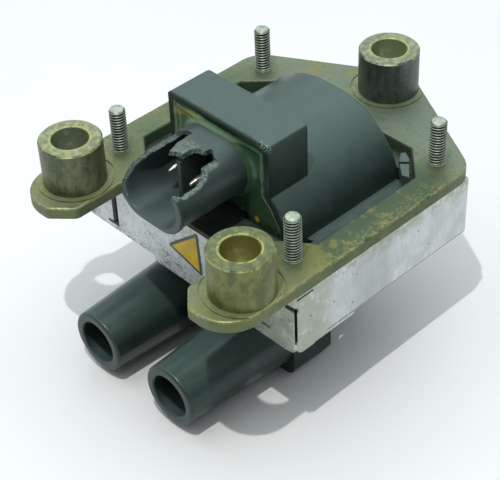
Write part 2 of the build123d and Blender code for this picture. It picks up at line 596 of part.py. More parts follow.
# ---------------------------------------------------------------- connector body, broken open along its top
with BuildPart() as connector_body:
    with BuildSketch(section(SHROUD_BACK_Y)):
        with Locations((0, SHROUD_Z)):
            SlotCenterToCenter(2 * SHROUD_CENTRE_X, 2 * SHROUD_R)
    extrude(amount=SHROUD_BACK_Y - SHROUD_MOUTH_Y)
    with BuildSketch(section(SHROUD_LIP_Y)):
        with Locations((0, SHROUD_Z)):
            SlotCenterToCenter(2 * SHROUD_CENTRE_X, 2 * (SHROUD_R + SHROUD_LIP_R))
    extrude(amount=SHROUD_LIP_Y - SHROUD_MOUTH_Y)
    fillet(connector_body.edges().group_by(Axis.Y)[0], SHROUD_LIP_R)
    with BuildSketch(section(SHROUD_BACK_Y)):
        with Locations((0, SHROUD_Z)):
            RectangleRounded(BASE_W, BASE_H, BASE_R)
    extrude(amount=SHROUD_BACK_Y - BASE_FRONT_Y)
    with BuildSketch(section(SHROUD_FLOOR_Y)):
        with Locations((0, SHROUD_Z)):
            SlotCenterToCenter(2 * SHROUD_CENTRE_X, 2 * (SHROUD_R - SHROUD_WALL))
        Rectangle(PARTITION_T, 4 * SHROUD_R, mode=Mode.SUBTRACT)
    extrude(amount=SHROUD_FLOOR_Y - SHROUD_MOUTH_Y, mode=Mode.SUBTRACT)
    with BuildSketch(section(PARTITION_FRONT_Y)):
        with Locations((0, SHROUD_Z)):
            Rectangle(PARTITION_T, 2 * (SHROUD_R - SHROUD_WALL))
    extrude(amount=PARTITION_FRONT_Y - SHROUD_MOUTH_Y, mode=Mode.SUBTRACT)
    # the missing top: outlines seen from above and from each side
    with BuildSketch(Plane.XY.offset(BREAK_TOP_Z)):
        with BuildLine():
            Polyline(BREAK_TOP, close=True)
        make_face()
    extrude(amount=SHROUD_R, mode=Mode.SUBTRACT)
    with BuildSketch(Plane.YZ.offset(BREAK_LEFT_X)):
        with BuildLine():
            Polyline(BREAK_LEFT, close=True)
        make_face()
    extrude(amount=-BREAK_REACH, mode=Mode.SUBTRACT)
    with BuildSketch(Plane.YZ.offset(BREAK_RIGHT_X)):
        with BuildLine():
            Polyline(BREAK_RIGHT, close=True)
        make_face()
    extrude(amount=BREAK_REACH, mode=Mode.SUBTRACT)
    with BuildSketch(section(SHROUD_BACK_Y)):
        with Locations((-PIN_X, PIN_Z), (PIN_X, PIN_Z)):
            Circle(PIN_R)
    extrude(amount=SHROUD_BACK_Y - SHROUD_FLOOR_Y, mode=Mode.SUBTRACT)
connector_body.part.label = "connector_body"
export_step(connector_body.part, "parts/connector_body.step")


def connector_pin(x, label):
    """Round contact pin with a tapered tip."""
    with BuildPart() as piece:
        with BuildSketch(section(PIN_BACK_Y)):
            with Locations((x, PIN_Z)):
                Circle(PIN_R)
        extrude(amount=PIN_BACK_Y - PIN_TIP_Y - PIN_TAPER)
        with BuildSketch(section(PIN_TIP_Y + PIN_TAPER)):
            with Locations((x, PIN_Z)):
                Circle(PIN_R)
        with BuildSketch(section(PIN_TIP_Y)):
            with Locations((x, PIN_Z)):
                Circle(PIN_TIP_R)
        loft()
    piece.part.label = label
    return piece.part


connector_pin_left = connector_pin(-PIN_X, "connector_pin_left")
export_step(connector_pin_left, "parts/connector_pin_left.step")
connector_pin_right = connector_pin(PIN_X, "connector_pin_right")
export_step(connector_pin_right, "parts/connector_pin_right.step")

# ---------------------------------------------------------------- primary winding on its bobbin
PRIMARY_TUBE_HALF_X = SLEEVE_HALF_X + PRIMARY_TUBE_T
PRIMARY_TUBE_HALF_Z = SLEEVE_HALF_Z + PRIMARY_TUBE_T
PRIMARY_OUTER_HALF_X = PRIMARY_TUBE_HALF_X + PRIMARY_DEPTH
PRIMARY_OUTER_HALF_Z = PRIMARY_TUBE_HALF_Z + PRIMARY_DEPTH
PRIMARY_WIND_HALF_Y = PRIMARY_HALF_Y - PRIMARY_FLANGE_T
PRIMARY_LEAD_Z = COIL_Z + PRIMARY_TUBE_HALF_Z + PRIMARY_DEPTH / 2
with BuildPart() as primary_bobbin:
    with BuildSketch(section(PRIMARY_HALF_Y)):
        with Locations((0, COIL_Z)):
            RectangleRounded(2 * PRIMARY_OUTER_HALF_X, 2 * PRIMARY_OUTER_HALF_Z, PRIMARY_WIND_R)
    extrude(amount=2 * PRIMARY_HALF_Y)
    with BuildSketch(section(PRIMARY_WIND_HALF_Y)):
        with Locations((0, COIL_Z)):
            Rectangle(4 * PRIMARY_OUTER_HALF_X, 4 * PRIMARY_OUTER_HALF_Z)
            RectangleRounded(2 * PRIMARY_TUBE_HALF_X, 2 * PRIMARY_TUBE_HALF_Z, PRIMARY_TUBE_R, mode=Mode.SUBTRACT)
    extrude(amount=2 * PRIMARY_WIND_HALF_Y, mode=Mode.SUBTRACT)
    with BuildSketch(section(PRIMARY_HALF_Y)):
        with Locations((0, COIL_Z)):
            Rectangle(2 * SLEEVE_HALF_X, 2 * SLEEVE_HALF_Z)
        with Locations((-PIN_X, PRIMARY_LEAD_Z), (PIN_X, PRIMARY_LEAD_Z)):
            Circle(LEAD_R)
    extrude(amount=2 * PRIMARY_HALF_Y, mode=Mode.SUBTRACT)
primary_bobbin.part.label = "primary_bobbin"
export_step(primary_bobbin.part, "parts/primary_bobbin.step")

with BuildPart() as primary_winding:
    with BuildSketch(section(PRIMARY_WIND_HALF_Y)):
        with Locations((0, COIL_Z)):
            RectangleRounded(2 * PRIMARY_OUTER_HALF_X, 2 * PRIMARY_OUTER_HALF_Z, PRIMARY_WIND_R)
            RectangleRounded(2 * PRIMARY_TUBE_HALF_X, 2 * PRIMARY_TUBE_HALF_Z, PRIMARY_TUBE_R, mode=Mode.SUBTRACT)
    extrude(amount=2 * PRIMARY_WIND_HALF_Y)
primary_winding.part.label = "primary_winding"
export_step(primary_winding.part, "parts/primary_winding.step")

with BuildPart() as winding_insulation:
    with BuildSketch(section(PRIMARY_HALF_Y)):
        with Locations((0, COIL_Z)):
            RectangleRounded(2 * (PRIMARY_OUTER_HALF_X + WRAP_T), 2 * (PRIMARY_OUTER_HALF_Z + WRAP_T),
                             PRIMARY_WIND_R + WRAP_T)
            RectangleRounded(2 * PRIMARY_OUTER_HALF_X, 2 * PRIMARY_OUTER_HALF_Z, PRIMARY_WIND_R, mode=Mode.SUBTRACT)
    extrude(amount=2 * PRIMARY_HALF_Y)
winding_insulation.part.label = "winding_insulation"
export_step(winding_insulation.part, "parts/winding_insulation.step")

# ---------------------------------------------------------------- secondary winding on its sectioned bobbin
SECTION_PITCH = (2 * SECONDARY_HALF_Y - SECONDARY_FLANGE_T) / SECTION_COUNT
FLANGE_STARTS = [SECONDARY_HALF_Y - SECTION_PITCH * index for index in range(SECTION_COUNT + 1)]
with BuildPart() as secondary_bobbin:
    with BuildSketch(section(SECONDARY_HALF_Y)):
        with Locations((0, COIL_Z)):
            Circle(SECONDARY_TUBE_R)
    extrude(amount=2 * SECONDARY_HALF_Y)
    for flange_y in FLANGE_STARTS:
        with BuildSketch(section(flange_y)):
            with Locations((0, COIL_Z)):
                Circle(SECONDARY_FLANGE_R)
        extrude(amount=SECONDARY_FLANGE_T)
    with BuildSketch(section(SECONDARY_HALF_Y)):
        with Locations((0, COIL_Z)):
            Circle(SECONDARY_INNER_R)
    extrude(amount=2 * SECONDARY_HALF_Y, mode=Mode.SUBTRACT)
secondary_bobbin.part.label = "secondary_bobbin"
export_step(secondary_bobbin.part, "parts/secondary_bobbin.step")

with BuildPart() as secondary_winding:
    for flange_y in FLANGE_STARTS[:-1]:
        with BuildSketch(section(flange_y - SECONDARY_FLANGE_T)):
            with Locations((0, COIL_Z)):
                Circle(SECONDARY_WIND_R)
                Circle(SECONDARY_TUBE_R, mode=Mode.SUBTRACT)
        extrude(amount=SECTION_PITCH - SECONDARY_FLANGE_T)
secondary_winding.part.label = "secondary_winding"
export_step(secondary_winding.part, "parts/secondary_winding.step")

# ---------------------------------------------------------------- leads
LEAD_TOP_Z = PIN_Z - PIN_R
primary_lead_left = lead([(-PIN_X, PRIMARY_LEAD_Y, LEAD_TOP_Z), (-PIN_X, PRIMARY_LEAD_Y, PRIMARY_LEAD_Z),
                          (-PIN_X, -PRIMARY_WIND_HALF_Y, PRIMARY_LEAD_Z)], LEAD_R, "primary_lead_left")
export_step(primary_lead_left, "parts/primary_lead_left.step")
primary_lead_right = lead([(PIN_X, PRIMARY_LEAD_Y, LEAD_TOP_Z), (PIN_X, PRIMARY_LEAD_Y, PRIMARY_LEAD_Z),
                           (PIN_X, -PRIMARY_WIND_HALF_Y, PRIMARY_LEAD_Z)], LEAD_R, "primary_lead_right")
export_step(primary_lead_right, "parts/primary_lead_right.step")

STEM_TOP_Z = TOWER_Z + TERMINAL_STEM_R
WIND_EDGE_LEFT_Z = COIL_Z - (SECONDARY_WIND_R ** 2 - (TOWER_X - HT_LEAD_R) ** 2) ** 0.5 - HT_LEAD_R
ht_lead_left = lead([(-TOWER_X, HT_LEAD_LEFT_Y, WIND_EDGE_LEFT_Z), (-TOWER_X, HT_LEAD_LEFT_Y, STEM_TOP_Z)],
                    HT_LEAD_R, "ht_lead_left")
export_step(ht_lead_left, "parts/ht_lead_left.step")
WIND_EDGE_RIGHT_Z = COIL_Z - SECONDARY_WIND_R
LAST_SECTION_Y = SECONDARY_HALF_Y - SECONDARY_FLANGE_T - 2 * HT_LEAD_R
ht_lead_right = lead([(HT_LEAD_RIGHT_X, LAST_SECTION_Y, WIND_EDGE_RIGHT_Z - HT_LEAD_R),
                      (HT_LEAD_RIGHT_X, LAST_SECTION_Y, HT_LEAD_RIGHT_Z),
                      (HT_LEAD_RIGHT_X, HT_LEAD_RIGHT_Y, HT_LEAD_RIGHT_Z),
                      (TOWER_X, HT_LEAD_RIGHT_Y, HT_LEAD_RIGHT_Z),
                      (TOWER_X, HT_LEAD_RIGHT_Y, STEM_TOP_Z)], HT_LEAD_R, "ht_lead_right")
export_step(ht_lead_right, "parts/ht_lead_right.step")

# ---------------------------------------------------------------- potting resin round everything inside the case
resin_hollow = case_cavity(RESIN_FRONT_Y, CASE_FRONT_Y + CASE_WALL)
resin_sleeve = sleeve_block(RESIN_FRONT_Y - CLEAR, CASE_BACK_Y)
POTTED = [resin_sleeve, connector_body.part, connector_pin_left, connector_pin_right, primary_bobbin.part,
          primary_winding.part, winding_insulation.part, secondary_bobbin.part, secondary_winding.part,
          primary_lead_left, primary_lead_right, ht_lead_left, ht_lead_right, ht_terminal_left, ht_terminal_right]
with BuildPart() as potting_resin:
    add(resin_hollow)
    add(POTTED, mode=Mode.SUBTRACT)
potting_resin.part.label = "potting_resin"
export_step(potting_resin.part, "parts/potting_resin.step")

# ---------------------------------------------------------------- corner clip in the plate window
with BuildPart() as corner_clip:
    with BuildSketch(Plane.XY.offset(CORE_TOP_Z)):
        with BuildLine():
            Polyline(CLIP_POINTS, close=True)
        make_face()
    extrude(amount=CLIP_H)
    fillet(corner_clip.edges().group_by(Axis.Z)[-1], CLIP_EDGE_R)
    with BuildSketch(Plane.XY.offset(CORE_TOP_Z + CLIP_H)):
        with Locations(Location((CLIP_GROOVE_X, CLIP_GROOVE_Y), CLIP_ANGLE)):
            Rectangle(CLIP_GROOVE_L, CLIP_GROOVE_W)
    extrude(amount=-CLIP_GROOVE_DEPTH, mode=Mode.SUBTRACT)
corner_clip.part.label = "corner_clip"
export_step(corner_clip.part, "parts/corner_clip.step")

# ---------------------------------------------------------------- marking triangle on the tray's front wall
with BuildPart() as marking_triangle:
    with BuildSketch(section(TRAY_FRONT_Y)) as mark_outline:
        with BuildLine():
            Polyline(MARK_POINTS, close=True)
        make_face()
        fillet(mark_outline.vertices(), MARK_R)
    extrude(amount=MARK_T)
marking_triangle.part.label = "marking_triangle"
export_step(marking_triangle.part, "parts/marking_triangle.step")
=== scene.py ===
import math

import bpy
from mathutils import Matrix, Vector, noise


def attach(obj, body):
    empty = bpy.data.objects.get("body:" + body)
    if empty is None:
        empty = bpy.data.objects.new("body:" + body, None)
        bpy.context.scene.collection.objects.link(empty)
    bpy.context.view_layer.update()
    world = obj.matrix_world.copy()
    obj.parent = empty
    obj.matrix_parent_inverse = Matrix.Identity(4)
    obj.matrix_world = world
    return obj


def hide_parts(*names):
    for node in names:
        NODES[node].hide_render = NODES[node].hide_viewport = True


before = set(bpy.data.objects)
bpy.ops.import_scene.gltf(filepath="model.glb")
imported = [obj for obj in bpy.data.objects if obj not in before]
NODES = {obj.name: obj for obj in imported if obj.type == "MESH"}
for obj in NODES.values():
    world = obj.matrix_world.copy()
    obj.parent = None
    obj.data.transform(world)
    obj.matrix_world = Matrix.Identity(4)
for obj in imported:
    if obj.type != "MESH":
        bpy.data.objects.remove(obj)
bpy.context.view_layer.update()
MM = 0.001
MM_PER_M = 1000.0
# the vector noise that roughens the broken wall is seeded by the clock unless a seed is set
noise.seed_set(7)

# ------------------------------------------------------------------ measures in millimetres, as in the CAD
STUD_X, STUD_Y = 28.88, 23.71
STUD_TOP, STUD_R, THREAD_PITCH, THREAD_DEPTH = 11.9, 2.0, 0.76, 0.36
BUSHES = ((-28.15, -38.32), (28.15, -38.32), (0.0, 39.02))
COIL_Z = -10.65
FLOOR_Z = -44.9
SKY_LOW, SKY_HIGH = 0.27, 1.34
SIDE_LOW, SIDE_HIGH = 0.22, 1.78
LAMP_PLACE, LAMP_SIZE, LAMP_POWER = (0.100, -0.212, 0.70), 0.014, 2.6
CAMERA_PLACE, CAMERA_ANGLES, LENS = (0.201638, -0.193078, 0.208428), (47.745, 39.973, -2.722), 106.25
MARK_CORNERS = ((-5.65, -11.6), (5.2, -2.4), (6.1, -14.9))
SHROUD_Z, SHROUD_R, SHROUD_WALL, SHROUD_CX = 9.9, 7.3, 1.4, 3.1


# ------------------------------------------------------------------ node graph helper
class Graph:
    """A material's node tree with short names for the nodes used here; lengths are in millimetres."""

    def __init__(self, name):
        self.mat = bpy.data.materials.new(name)
        self.mat.use_nodes = True
        self.tree = self.mat.node_tree
        self.tree.nodes.clear()
        self.out = self.node("ShaderNodeOutputMaterial")
        self.bsdf = self.node("ShaderNodeBsdfPrincipled")
        self.link(self.bsdf.outputs[0], self.out.inputs[0])
        coord = self.node("ShaderNodeTexCoord")
        scaled = self.node("ShaderNodeVectorMath", operation="SCALE")
        scaled.inputs["Scale"].default_value = MM_PER_M
        self.link(coord.outputs["Object"], scaled.inputs[0])
        self.pos = scaled.outputs[0]
        split = self.node("ShaderNodeSeparateXYZ")
        self.link(self.pos, split.inputs[0])
        self.x, self.y, self.z = split.outputs
        geometry = self.node("ShaderNodeNewGeometry")
        normal = self.node("ShaderNodeSeparateXYZ")
        self.link(geometry.outputs["Normal"], normal.inputs[0])
        self.nx, self.ny, self.nz = normal.outputs

    def node(self, kind, **props):
        n = self.tree.nodes.new(kind)
        for key, value in props.items():
            setattr(n, key, value)
        return n

    def link(self, a, b):
        self.tree.links.new(a, b)

    def put(self, socket, value):
        if isinstance(value, (int, float)):
            socket.default_value = value
        elif isinstance(value, (tuple, list)):
            socket.default_value = (*value, 1.0) if len(value) == 3 and socket.type == "RGBA" else value
        else:
            self.link(value, socket)

    def math(self, operation, a, b=0.0, c=0.0, clamp=False):
        n = self.node("ShaderNodeMath", operation=operation, use_clamp=clamp)
        for socket, value in zip(n.inputs, (a, b, c)):
            self.put(socket, value)
        return n.outputs[0]

    def add(self, a, b):
        return self.math("ADD", a, b)

    def sub(self, a, b):
        return self.math("SUBTRACT", a, b)

    def mul(self, a, b):
        return self.math("MULTIPLY", a, b)

    def step(self, value, low, high, to_low=0.0, to_high=1.0):
        """Smooth step of value from low to high (either way round)."""
        n = self.node("ShaderNodeMapRange", interpolation_type="SMOOTHSTEP")
        for socket, v in zip(n.inputs, (value, low, high, to_low, to_high)):
            self.put(socket, v)
        return n.outputs[0]

    def scale3(self, vector, factors):
        n = self.node("ShaderNodeVectorMath", operation="MULTIPLY")
        self.put(n.inputs[0], vector)
        n.inputs[1].default_value = factors
        return n.outputs[0]

    def shift3(self, vector, offset):
        n = self.node("ShaderNodeVectorMath", operation="ADD")
        self.put(n.inputs[0], vector)
        n.inputs[1].default_value = offset
        return n.outputs[0]

    def noise(self, size, detail=3.0, rough=0.55, vector=None, distortion=0.0):
        """Noise with features about size millimetres wide, 0 to 1."""
        n = self.node("ShaderNodeTexNoise")
        self.put(n.inputs["Vector"], self.pos if vector is None else vector)
        n.inputs["Scale"].default_value = 1.0 / size
        n.inputs["Detail"].default_value = detail
        n.inputs["Roughness"].default_value = rough
        n.inputs["Distortion"].default_value = distortion
        return n.outputs[0]

    def cells(self, size):
        """Distance to the middle of the nearest cell, for cells about size millimetres wide."""
        n = self.node("ShaderNodeTexVoronoi", feature="F1")
        self.put(n.inputs["Vector"], self.pos)
        n.inputs["Scale"].default_value = 1.0 / size
        return n.outputs["Distance"]

    def specks(self, size, radius, keep):
        """Small round specks: at most one per cell of the given size, in the share keep of the cells."""
        distance = self.cells(size)
        chosen = self.math("GREATER_THAN", self.noise(size * 1.7, 1.0, 0.5), 1.0 - keep)
        return self.mul(self.step(distance, radius, radius * 0.55), chosen)

    def mix(self, factor, a, b):
        n = self.node("ShaderNodeMix", data_type="RGBA")
        self.put(n.inputs["Factor"], factor)
        self.put(n.inputs[6], a)
        self.put(n.inputs[7], b)
        return n.outputs[2]

    def mixf(self, factor, a, b):
        n = self.node("ShaderNodeMix", data_type="FLOAT")
        self.put(n.inputs["Factor"], factor)
        self.put(n.inputs[2], a)
        self.put(n.inputs[3], b)
        return n.outputs[0]

    def bump(self, height, strength, distance):
        """Bump from a height of 0 to 1 that stands for distance millimetres."""
        n = self.node("ShaderNodeBump")
        n.inputs["Strength"].default_value = strength
        n.inputs["Distance"].default_value = distance * MM
        self.put(n.inputs["Height"], height)
        return n.outputs[0]

    def radius_to(self, cx, cy):
        dx, dy = self.sub(self.x, cx), self.sub(self.y, cy)
        return self.math("SQRT", self.add(self.mul(dx, dx), self.mul(dy, dy)))

    def finish(self, color, roughness, metallic=0.0, normal=None, **others):
        self.put(self.bsdf.inputs["Base Color"], color)
        self.put(self.bsdf.inputs["Roughness"], roughness)
        self.put(self.bsdf.inputs["Metallic"], metallic)
        if normal is not None:
            self.link(normal, self.bsdf.inputs["Normal"])
        for key, value in others.items():
            self.put(self.bsdf.inputs[key.replace("_", " ")], value)
        return self.mat


# ------------------------------------------------------------------ materials
def plate_material():
    g = Graph("plate_steel")
    blotch = g.noise(9.0, 4.0, 0.6)
    fine = g.noise(0.9, 5.0, 0.7)
    color = g.mix(g.step(blotch, 0.35, 0.68), (0.085, 0.130, 0.075), (0.125, 0.165, 0.085))
    color = g.mix(g.mul(g.step(fine, 0.50, 0.72), 0.45), color, (0.21, 0.25, 0.14))
    strip = g.mul(g.step(g.x, 22.0, 27.0), g.step(g.y, 26.0, 18.0))
    color = g.mix(g.mul(strip, 0.82), color, (0.042, 0.076, 0.042))
    # the plating is browner and duller on the front ears, greyer towards the back
    ear = g.step(g.y, -20.0, -30.0)
    color = g.mix(g.mul(ear, 0.7), color, (0.232, 0.262, 0.142))
    back = g.step(g.y, 12.0, 30.0)
    color = g.mix(g.mul(back, 0.55), color, (0.20, 0.25, 0.20))
    corner = g.mul(g.step(g.y, 26.0, 30.0), g.step(g.x, 3.0, -4.0))
    front = g.mul(g.step(g.y, 6.0, -12.0), g.step(g.x, 20.0, 26.0))
    tinted = g.math("MAXIMUM", g.mul(corner, 0.8), g.mul(front, 0.7))
    film = g.noise(5.0, 4.0, 0.65, g.shift3(g.pos, (9.0, 40.0, 2.0)))
    yellow = g.step(g.add(film, g.mul(tinted, 0.12)), 0.53, 0.66)
    yellow = g.mul(yellow, g.math("MAXIMUM", g.sub(1.0, back), corner))
    color = g.mix(g.mul(yellow, 0.65), color, (0.22, 0.22, 0.065))
    dark = g.step(g.noise(1.5, 5.0, 0.78), 0.54, 0.68)
    color = g.mix(g.mul(dark, 0.6), color, (0.040, 0.056, 0.028))
    # bright edges where the rounded rim leans: partly rubbed wear, partly a painted highlight along the rim;
    # the window's rim gets none of it and is painted dark instead
    lean = g.mul(g.step(g.nz, 0.985, 0.80), g.step(g.nz, 0.12, 0.4))
    across = g.step(g.math("ABSOLUTE", g.x), 31.0, 29.5)
    inner = g.mul(across, g.mul(g.step(g.y, -23.0, -21.0), g.step(g.y, 26.5, 25.0)))
    patches = g.mul(g.step(g.noise(4.5, 2.0, 0.5), 0.40, 0.55), g.step(g.noise(0.7, 5.0, 0.75), 0.40, 0.56))
    wear_and_edge_highlight = g.mul(g.mul(lean, patches), g.sub(1.0, inner))
    color = g.mix(g.mul(wear_and_edge_highlight, 0.85), color, (0.42, 0.43, 0.19))
    rubbed = g.mul(g.step(g.math("ABSOLUTE", g.x), 30.8, 35.4), g.step(g.noise(0.8, 5.0, 0.75), 0.44, 0.62))
    color = g.mix(g.mul(rubbed, 0.55), color, (0.25, 0.27, 0.11))
    # painted shade: the window's rounded rim is painted dark, a shadow line along the gap beside the case
    color = g.mix(g.mul(g.mul(lean, inner), 0.8), color, (0.06, 0.08, 0.05))
    # stain rings left round the bushes
    for cx, cy in BUSHES:
        ring = g.radius_to(cx, cy)
        halo = g.mul(g.step(ring, 10.2, 8.6), g.step(g.noise(1.6, 4.0, 0.7), 0.42, 0.6))
        color = g.mix(g.mul(halo, 0.55), color, (0.26, 0.28, 0.12))
    # painted shade: a dark ring round the foot of each stud
    for cx in (-STUD_X, STUD_X):
        for cy in (-STUD_Y, STUD_Y):
            ring = g.radius_to(cx, cy)
            halo = g.mul(g.step(ring, 4.6, 3.0), g.step(g.noise(0.9, 4.0, 0.7), 0.35, 0.6))
            color = g.mix(g.mul(halo, 0.6), color, (0.10, 0.12, 0.05))
    pits = g.specks(1.1, 0.17, 0.28)
    color = g.mix(g.mul(pits, 0.8), color, (0.02, 0.026, 0.015))
    wall = g.step(g.math("ABSOLUTE", g.nz), 0.4, 0.15)
    color = g.mix(g.mul(wall, 0.55), color, (0.085, 0.115, 0.045))
    rough = g.mixf(wear_and_edge_highlight, g.step(blotch, 0.3, 0.7, 0.42, 0.55), 0.34)
    height = g.add(g.mul(g.noise(0.45, 4.0, 0.65), 1.0), g.mul(g.noise(3.0, 3.0, 0.6), 1.6))
    normal = g.bump(g.sub(height, g.mul(pits, 0.5)), 0.5, 0.14)
    return g.finish(color, rough, 0.55, normal)


def bush_material(name, cx, cy, tone):
    g = Graph(name)
    radius = g.radius_to(cx, cy)
    blotch = g.noise(2.6, 4.0, 0.6, g.scale3(g.pos, (1.0, 1.0, 0.45)))
    dull, bright, lining, sheen, top = tone
    color = g.mix(g.step(blotch, 0.35, 0.65), dull, bright)
    spots = g.step(g.noise(0.8, 4.0, 0.7), 0.56, 0.68)
    color = g.mix(g.mul(spots, 0.35), color, (0.30, 0.31, 0.17))
    drawn = g.scale3(g.shift3(g.pos, (31.0, 7.0, 5.0)), (1.0, 1.0, 0.5))
    stain = g.step(g.noise(1.4, 4.0, 0.75, drawn), 0.55, 0.68)
    color = g.mix(g.mul(stain, 0.55), color, (0.05, 0.058, 0.028))
    # end face: paler turned ring, brassy bore
    end = g.mul(g.step(g.nz, 0.9, 0.98), g.step(g.z, 10.5, 11.2))
    pale = g.mix(g.step(g.noise(1.6, 4.0, 0.7), 0.40, 0.64), tuple(0.55 * v for v in top), top)
    color = g.mix(g.mul(end, 0.85), color, pale)
    # bore: painted shade high up and painted light low down, as the light falls into it, broken up at random
    bore = g.step(radius, 4.75, 4.5)
    bore_light_and_shade = g.mix(g.step(g.add(g.noise(3.0, 3.0, 0.6), g.mul(g.z, 0.02)), 0.62, 0.40), lining, sheen)
    color = g.mix(g.mul(bore, 0.85), color, bore_light_and_shade)
    # painted highlight: a broken bright yellow ring at the mouth of the bore
    ring = g.mul(g.step(radius, 5.15, 4.85), g.step(g.z, 10.9, 11.2))
    ring = g.mul(ring, g.step(g.noise(1.8, 3.0, 0.6), 0.40, 0.52))
    color = g.mix(g.mul(ring, 0.7), color, (0.42, 0.44, 0.12))
    lean = g.mul(g.step(g.nz, 0.97, 0.8), g.mul(g.step(g.nz, 0.1, 0.35), g.step(g.z, 10.4, 11.0)))
    corner = g.mul(lean, g.step(g.noise(2.2, 3.0, 0.6), 0.42, 0.58))
    color = g.mix(g.mul(corner, 0.7), color, (0.40, 0.43, 0.20))
    tooling = g.math("SINE", g.mul(radius, 26.0))
    lathe = g.math("SINE", g.mul(g.z, 21.0))
    lines = g.mixf(end, lathe, tooling)
    height = g.add(g.mul(lines, 0.12), g.noise(0.6, 4.0, 0.6))
    normal = g.bump(height, 0.35, 0.1)
    return g.finish(color, g.step(blotch, 0.3, 0.7, 0.36, 0.5), 0.6, normal)


def stud_material():
    g = Graph("stud_steel")
    color = g.mix(g.step(g.noise(1.5, 4.0, 0.6), 0.35, 0.65), (0.29, 0.35, 0.28), (0.48, 0.55, 0.46))
    dirt = g.step(g.noise(0.5, 4.0, 0.7), 0.52, 0.66)
    color = g.mix(g.mul(dirt, 0.5), color, (0.05, 0.06, 0.035))
    # painted shade: the thread's root is painted near black, where shade falls between the crests
    root = g.math("MINIMUM", g.math("MINIMUM", g.radius_to(-STUD_X, -STUD_Y), g.radius_to(STUD_X, -STUD_Y)),
                  g.math("MINIMUM", g.radius_to(-STUD_X, STUD_Y), g.radius_to(STUD_X, STUD_Y)))
    thread_root_shade = g.mul(g.step(root, 1.96, 1.80), g.step(g.z, STUD_TOP - 0.2, STUD_TOP - 0.5))
    color = g.mix(g.mul(thread_root_shade, 0.95), color, (0.008, 0.014, 0.008))
    normal = g.bump(g.noise(0.3, 4.0, 0.6), 0.25, 0.05)
    return g.finish(color, g.step(dirt, 0.0, 1.0, 0.42, 0.6), 0.55, normal)


def tray_material():
    g = Graph("tray_steel")
    streak = g.noise(0.6, 4.0, 0.65, g.scale3(g.pos, (1.0, 1.0, 0.12)))
    broad = g.noise(6.0, 4.0, 0.6)
    color = g.mix(g.step(streak, 0.3, 0.7), (0.56, 0.60, 0.60), (0.70, 0.73, 0.75))
    color = g.mix(g.mul(g.step(broad, 0.42, 0.62), 0.45), color, (0.47, 0.51, 0.50))
    bend = g.step(g.math("ABSOLUTE", g.add(g.z, 18.45)), 0.28, 0.10)
    bend = g.mul(bend, g.mul(g.step(g.y, -21.5, -20.0), g.step(g.noise(1.2, 4.0, 0.7), 0.34, 0.46)))
    color = g.mix(g.mul(bend, 0.85), color, (0.06, 0.075, 0.055))
    # water stain in the middle of the right wall
    tide = g.mul(g.step(g.nx, 0.5, 0.9), g.mul(g.step(g.y, -14.0, -10.0), g.step(g.y, 2.0, -2.0)))
    color = g.mix(g.mul(tide, 0.35), color, (0.30, 0.33, 0.31))
    # yellowish stain under the plate's edge and over the front wall's right part
    front = g.step(g.ny, -0.5, -0.9)
    stain = g.mul(g.step(g.z, -8.0, -4.0), g.step(g.noise(2.5, 4.0, 0.65), 0.38, 0.58))
    right = g.mul(front, g.mul(g.step(g.x, 12.0, 26.0), g.step(g.noise(3.5, 4.0, 0.65), 0.3, 0.55)))
    near = g.mul(g.step(g.nx, 0.5, 0.9), g.step(g.y, -16.0, -24.0))
    near = g.mul(near, g.step(g.noise(2.5, 4.0, 0.65), 0.25, 0.5))
    grime = g.math("MAXIMUM", g.math("MAXIMUM", stain, right), near)
    color = g.mix(g.mul(grime, 0.6), color, (0.30, 0.34, 0.20))
    worms = g.step(g.noise(0.9, 3.0, 0.55, None, 2.0), 0.58, 0.64)
    worms = g.mul(worms, g.step(g.noise(4.0, 2.0, 0.5), 0.42, 0.6))
    specks = g.math("MAXIMUM", g.specks(1.4, 0.2, 0.3), g.mul(worms, front))
    specks = g.math("MAXIMUM", specks, g.specks(2.6, 0.13, 0.45))
    low = g.add(g.z, g.mul(g.step(g.noise(5.0, 3.0, 0.6), 0.3, 0.7), 9.0))
    # dark crust on the lower part of the front wall, thin on its right corner
    crust = g.mul(front, g.step(low, -9.5, -15.5, 0.25, 1.0))
    crust = g.mul(crust, g.step(g.noise(0.9, 5.0, 0.8), 0.515, 0.555))
    thin = g.step(g.x, 27.0, 22.0, 0.25, 1.0)
    crust = g.mul(crust, g.mul(g.step(g.noise(3.2, 3.0, 0.6), 0.38, 0.50), thin))
    specks = g.math("MAXIMUM", specks, crust)
    color = g.mix(g.mul(specks, 0.85), color, (0.045, 0.060, 0.045))
    height = g.add(g.mul(streak, 0.5), g.mul(specks, -0.4))
    normal = g.bump(height, 0.3, 0.08)
    return g.finish(color, g.step(streak, 0.3, 0.7, 0.42, 0.55), 0.7, normal)


